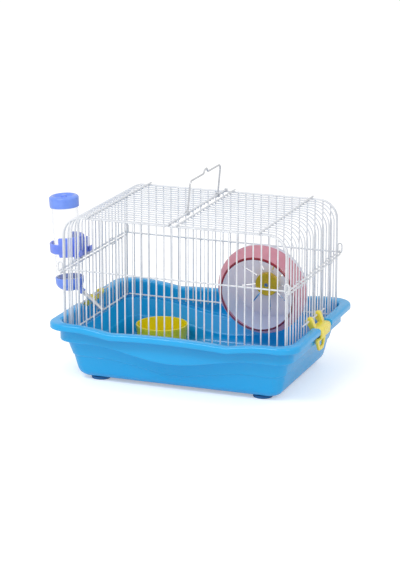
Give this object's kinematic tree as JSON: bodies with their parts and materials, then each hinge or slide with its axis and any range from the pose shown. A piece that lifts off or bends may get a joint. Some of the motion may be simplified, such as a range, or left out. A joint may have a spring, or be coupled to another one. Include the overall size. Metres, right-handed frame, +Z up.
{
  "type": "hamster cage",
  "caption": "Small pet cage: a moulded tub under a wire top with an opening roof half, snap latches, a carrying handle, a running wheel, a drinking bottle and a food bowl.",
  "frame": {"origin": "on the floor under the middle of the whole object's box, bottle included", "axes": "+Z up, +X along the cage from the bottle's end to the wheel's end, -Y the front"},
  "size_m": [0.4034, 0.2792, 0.2939],
  "materials": {
    "tub_plastic": "glossy sky-blue moulding",
    "foot_rubber": "dark blue matt pads",
    "wire_coat": "white powder coat, semi-gloss",
    "handle_wire": "light grey coated wire",
    "latch_plastic": "glossy yellow moulding",
    "bowl_plastic": "glossy yellow moulding",
    "hub_plastic": "glossy yellow moulding",
    "holder_plastic": "glossy periwinkle moulding",
    "cap_plastic": "glossy periwinkle moulding",
    "bottle_clear": "clear blown plastic",
    "seal_rubber": "soft milky rubber",
    "spout_steel": "polished steel",
    "wheel_pink": "translucent pink moulding",
    "wheel_red": "dark red moulding",
    "wheel_white": "frosted white moulding",
    "axle_steel": "steel pin"
  },
  "bodies": {
    "cage": {"tub": "tub_plastic", "tub_feet": "foot_rubber", "front_panel": "wire_coat", "back_panel": "wire_coat", "front_outline": "wire_coat", "back_outline": "wire_coat", "left_lower_end": "wire_coat", "right_lower_end": "wire_coat", "left_roof_half": "wire_coat", "left_hinge_rings": "wire_coat", "right_hinge_rings": "wire_coat", "corner_loops": "wire_coat", "roof_hooks": "wire_coat", "left_latch_bar": "wire_coat", "right_latch_bar": "wire_coat", "bottle_holder": "holder_plastic", "bottle_body": "bottle_clear", "bottle_base": "cap_plastic", "bottle_seal": "seal_rubber", "spout_tube": "spout_steel", "wheel_axle": "axle_steel", "axle_clip": "hub_plastic", "wheel_bracket": "hub_plastic"},
    "roof_door": {"right_roof_half": "wire_coat"},
    "left_latch": {"left_latch": "latch_plastic"},
    "right_latch": {"right_latch": "latch_plastic"},
    "handle": {"handle": "handle_wire"},
    "wheel": {"wheel_pan": "wheel_white", "wheel_band": "wheel_pink", "wheel_rim": "wheel_red", "wheel_hub": "hub_plastic"},
    "bowl": {"bowl": "bowl_plastic"},
    "bottle_cap": {"bottle_cap": "cap_plastic"},
    "spout_ball": {"spout_ball": "spout_steel"}
  },
  "joints": [
    {"name": "roof_door_swing", "type": "hinge", "parent": "cage", "child": "roof_door", "pos_m": [0.1824, 0, 0.163], "axis": [0, 1, 0], "range_deg": [0, 110]},
    {"name": "left_latch_swing", "type": "hinge", "parent": "cage", "child": "left_latch", "pos_m": [-0.15218, 0, 0.0955], "axis": [0, 1, 0], "range_deg": [0, 100]},
    {"name": "right_latch_swing", "type": "hinge", "parent": "cage", "child": "right_latch", "pos_m": [0.1824, 0, 0.0955], "axis": [0, -1, 0], "range_deg": [0, 100]},
    {"name": "handle_swing", "type": "hinge", "parent": "cage", "child": "handle", "pos_m": [0.00911, 0.01815, 0.24129], "axis": [0, 1, 0], "range_deg": [-90, 0]},
    {"name": "wheel_spin", "type": "hinge", "parent": "cage", "child": "wheel", "pos_m": [0.08241, 0.095, 0.1125], "axis": [0, -0.9945, -0.1045], "continuous": true},
    {"name": "bowl_lift", "type": "slide", "parent": "cage", "child": "bowl", "axis": [0, 0, 1], "range_m": [0, 0.06]},
    {"name": "bottle_cap_lift", "type": "slide", "parent": "cage", "child": "bottle_cap", "axis": [-0.061, 0, 0.9981], "range_m": [0, 0.03]},
    {"name": "spout_ball_travel", "type": "slide", "parent": "cage", "child": "spout_ball", "axis": [-0.766, 0, 0.6428], "range_m": [0, 0.0015]}
  ]
}
